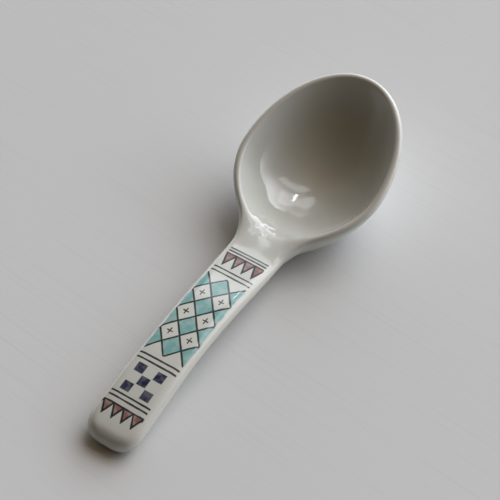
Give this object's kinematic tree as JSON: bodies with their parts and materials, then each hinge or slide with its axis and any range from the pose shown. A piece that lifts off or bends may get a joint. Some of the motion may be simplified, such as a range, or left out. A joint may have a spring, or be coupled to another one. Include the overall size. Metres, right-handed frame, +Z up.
{
  "type": "porcelain spoon",
  "caption": "Glazed porcelain spoon with a deep egg-shaped bowl and a flat, gently arched handle that carries a painted pattern. It rests on the bowl's foot and the handle's end.",
  "frame": {"origin": "centre of the flat round foot under the bowl, on the table", "axes": "+X along the spoon to the front of the bowl, +Y to the spoon's left, +Z up"},
  "size_m": [0.1298, 0.0446, 0.026],
  "materials": {
    "bowl_glaze": "gloss",
    "painted_handle": "gloss"
  },
  "bodies": {
    "root": {"bowl": "bowl_glaze", "handle": "painted_handle"}
  },
  "joints": []
}
